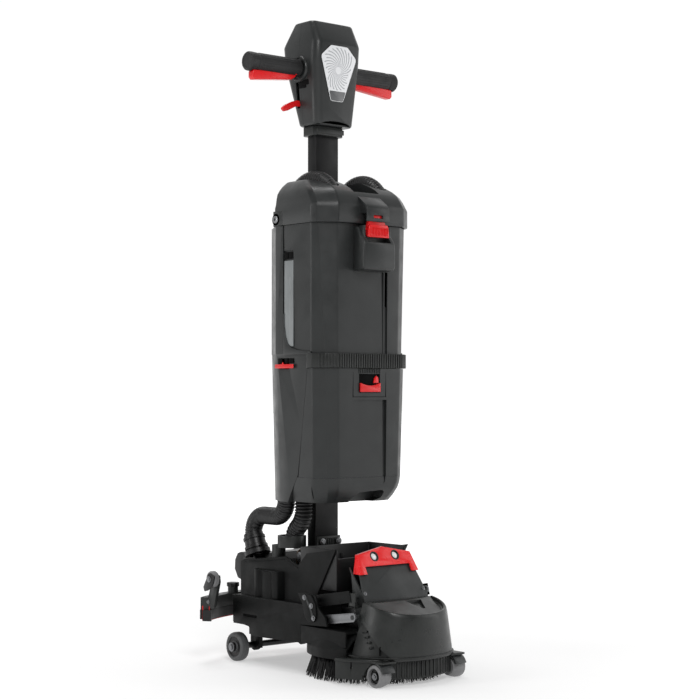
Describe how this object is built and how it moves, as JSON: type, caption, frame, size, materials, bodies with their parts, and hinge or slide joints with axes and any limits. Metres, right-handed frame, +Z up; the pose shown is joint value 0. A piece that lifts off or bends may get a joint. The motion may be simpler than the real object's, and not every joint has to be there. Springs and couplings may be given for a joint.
{
  "type": "walk-behind floor scrubber",
  "caption": "Upright wet and dry floor scrubber with stacked tanks on a tilting column, a wheeled base, a round brush deck and a rear squeegee.",
  "frame": {"origin": "middle of the footprint, on the floor", "axes": "+Z up, -Y forward towards the brush, +X to the right of someone who faces its front"},
  "size_m": [0.36, 0.51, 1.214],
  "materials": {
    "charcoal_plastic": "satin moulded plastic",
    "dark_plastic": "satin moulded plastic",
    "black_plastic": "textured plastic",
    "panel_grey": "satin paint",
    "red_plastic": "gloss moulded plastic",
    "column_paint": "powder coat",
    "steel": "brushed",
    "link_steel": "satin zinc",
    "spring_steel": "tempered",
    "brass": "plain",
    "aluminium": "turned",
    "wheel_rubber": "grey tyre",
    "roller_plastic": "smooth",
    "grip_rubber": "soft grip",
    "blade_rubber": "smooth",
    "hose_plastic": "corrugated",
    "window_plastic": "frosted",
    "decal": "silver label",
    "display": "glossy",
    "board": "printed board",
    "lamp_lens": "opal lens",
    "bristle": "nylon filament"
  },
  "bodies": {
    "chassis": {"chassis": "dark_plastic", "rear_cover": "black_plastic", "battery_tray": "black_plastic", "battery_contacts": "brass", "tilt_bracket": "dark_plastic", "tilt_pin": "steel", "tilt_spring": "spring_steel", "rear_axle": "black_plastic", "hose_cup": "dark_plastic", "suction_cuff": "black_plastic", "recovery_hose": "hose_plastic", "vacuum_hose": "hose_plastic"},
    "rear_wheel_left": {"rear_wheel_left": "wheel_rubber"},
    "rear_wheel_right": {"rear_wheel_right": "wheel_rubber"},
    "upright": {"column": "column_paint", "column_foot": "dark_plastic", "rear_housing": "charcoal_plastic", "tank_belt": "charcoal_plastic", "vacuum_motor": "aluminium", "upper_tank": "charcoal_plastic", "level_window": "window_plastic", "head_front_shell": "charcoal_plastic", "head_rear_shell": "charcoal_plastic", "head_collar": "dark_plastic", "handle_bar": "aluminium", "grip_left": "grip_rubber", "grip_right": "grip_rubber", "head_decal": "decal", "display_panel": "display", "circuit_board": "board", "lid_hoses": "hose_plastic"},
    "lid": {"lid": "charcoal_plastic"},
    "lid_latch": {"lid_latch": "red_plastic"},
    "lower_tank": {"lower_tank": "charcoal_plastic", "tank_cap": "charcoal_plastic"},
    "tank_release_button": {"tank_release_button": "red_plastic"},
    "side_tab": {"side_tab": "red_plastic"},
    "trigger_left": {"trigger_left": "red_plastic"},
    "trigger_right": {"trigger_right": "red_plastic"},
    "head_lever": {"head_lever": "red_plastic"},
    "power_button": {"power_button": "red_plastic"},
    "mode_button": {"mode_button": "roller_plastic"},
    "lower_links": {"lower_links": "link_steel"},
    "upper_links": {"upper_links": "link_steel"},
    "brush_deck": {"deck_housing": "dark_plastic", "brush_motor": "black_plastic", "front_cover": "dark_plastic", "front_panel": "panel_grey", "red_hood": "red_plastic", "headlamps": "lamp_lens", "bumper_skirt": "dark_plastic"},
    "brush": {"brush_disc": "black_plastic", "brush_bristles": "bristle"},
    "front_roller_left": {"front_roller_left": "roller_plastic"},
    "front_roller_right": {"front_roller_right": "roller_plastic"},
    "squeegee": {"squeegee_carrier": "black_plastic", "squeegee_body": "dark_plastic", "squeegee_blades": "blade_rubber"},
    "squeegee_wheel_left": {"squeegee_wheel_left": "wheel_rubber"},
    "squeegee_wheel_right": {"squeegee_wheel_right": "wheel_rubber"}
  },
  "joints": [
    {"name": "column_tilt", "type": "hinge", "parent": "chassis", "child": "upright", "pos_m": [0, 0.0445, 0.205], "axis": [-1, 0, 0], "range_deg": [0, 45], "deforming": ["recovery_hose", "vacuum_hose"]},
    {"name": "rear_wheel_left_spin", "type": "hinge", "parent": "chassis", "child": "rear_wheel_left", "pos_m": [-0.101, 0.1785, 0.0275], "axis": [1, 0, 0], "continuous": true},
    {"name": "rear_wheel_right_spin", "type": "hinge", "parent": "chassis", "child": "rear_wheel_right", "pos_m": [0.101, 0.1785, 0.0275], "axis": [1, 0, 0], "continuous": true},
    {"name": "lower_link_swing", "type": "hinge", "parent": "chassis", "child": "lower_links", "pos_m": [0, -0.0765, 0.104], "axis": [1, 0, 0], "range_deg": [0, 8]},
    {"name": "deck_float", "type": "hinge", "parent": "lower_links", "child": "brush_deck", "pos_m": [0, -0.1605, 0.1165], "axis": [1, 0, 0], "range_deg": [-8, 0]},
    {"name": "upper_link_swing", "type": "hinge", "parent": "chassis", "child": "upper_links", "pos_m": [0, -0.0595, 0.138], "axis": [1, 0, 0], "range_deg": [0, 8]},
    {"name": "brush_spin", "type": "hinge", "parent": "brush_deck", "child": "brush", "pos_m": [0, -0.1005, 0.02], "axis": [0, 0, 1], "continuous": true},
    {"name": "front_roller_left_spin", "type": "hinge", "parent": "brush_deck", "child": "front_roller_left", "pos_m": [-0.093, -0.2195, 0.02], "axis": [1, 0, 0], "continuous": true},
    {"name": "front_roller_right_spin", "type": "hinge", "parent": "brush_deck", "child": "front_roller_right", "pos_m": [0.093, -0.2195, 0.02], "axis": [1, 0, 0], "continuous": true},
    {"name": "squeegee_lift", "type": "slide", "parent": "chassis", "child": "squeegee", "axis": [0, 0, -1], "range_m": [0, 0.08]},
    {"name": "squeegee_wheel_left_spin", "type": "hinge", "parent": "squeegee", "child": "squeegee_wheel_left", "pos_m": [-0.168, 0.1655, 0.162], "axis": [1, 0, 0], "continuous": true},
    {"name": "squeegee_wheel_right_spin", "type": "hinge", "parent": "squeegee", "child": "squeegee_wheel_right", "pos_m": [0.168, 0.1655, 0.162], "axis": [1, 0, 0], "continuous": true},
    {"name": "lid_hinge", "type": "hinge", "parent": "upright", "child": "lid", "pos_m": [0, 0.0415, 0.835], "axis": [-1, 0, 0], "range_deg": [0, 30], "deforming": ["lid_hoses"]},
    {"name": "lid_latch_swing", "type": "hinge", "parent": "upright", "child": "lid_latch", "pos_m": [0, -0.1075, 0.812], "axis": [-1, 0, 0], "range_deg": [0, 12], "stiffness_Nm_per_rad": 0.4, "springref_deg": -5.73},
    {"name": "lower_tank_slide", "type": "slide", "parent": "upright", "child": "lower_tank", "axis": [0, -1, 0], "range_m": [0, 0.06]},
    {"name": "tank_release_press", "type": "slide", "parent": "lower_tank", "child": "tank_release_button", "axis": [0, 1, 0], "range_m": [0, 0.003], "stiffness_N_per_m": 600, "springref_m": -0.002},
    {"name": "side_tab_press", "type": "slide", "parent": "upright", "child": "side_tab", "axis": [1, 0, 0], "range_m": [0, 0.003], "stiffness_N_per_m": 400, "springref_m": -0.002},
    {"name": "trigger_left_squeeze", "type": "hinge", "parent": "upright", "child": "trigger_left", "pos_m": [-0.072, 0.0465, 1.1115], "axis": [0, 1, 0], "range_deg": [0, 3], "stiffness_Nm_per_rad": 1, "springref_deg": -5.73},
    {"name": "trigger_right_squeeze", "type": "hinge", "parent": "upright", "child": "trigger_right", "pos_m": [0.072, 0.0465, 1.1115], "axis": [0, -1, 0], "range_deg": [0, 3], "stiffness_Nm_per_rad": 1, "springref_deg": -5.73},
    {"name": "head_lever_lift", "type": "hinge", "parent": "upright", "child": "head_lever", "pos_m": [-0.03, 0.0565, 1.061], "axis": [0, 1, 0], "range_deg": [0, 30]},
    {"name": "power_press", "type": "slide", "parent": "upright", "child": "power_button", "axis": [0, -1, 0], "range_m": [0, 0.0015], "stiffness_N_per_m": 400, "springref_m": -0.001},
    {"name": "mode_press", "type": "slide", "parent": "upright", "child": "mode_button", "axis": [0, -1, 0], "range_m": [0, 0.0015], "stiffness_N_per_m": 400, "springref_m": -0.001}
  ],
  "couplings": [
    {"joint": "deck_float", "follows": "lower_link_swing", "ratio": -1},
    {"joint": "upper_link_swing", "follows": "lower_link_swing", "ratio": 1}
  ]
}
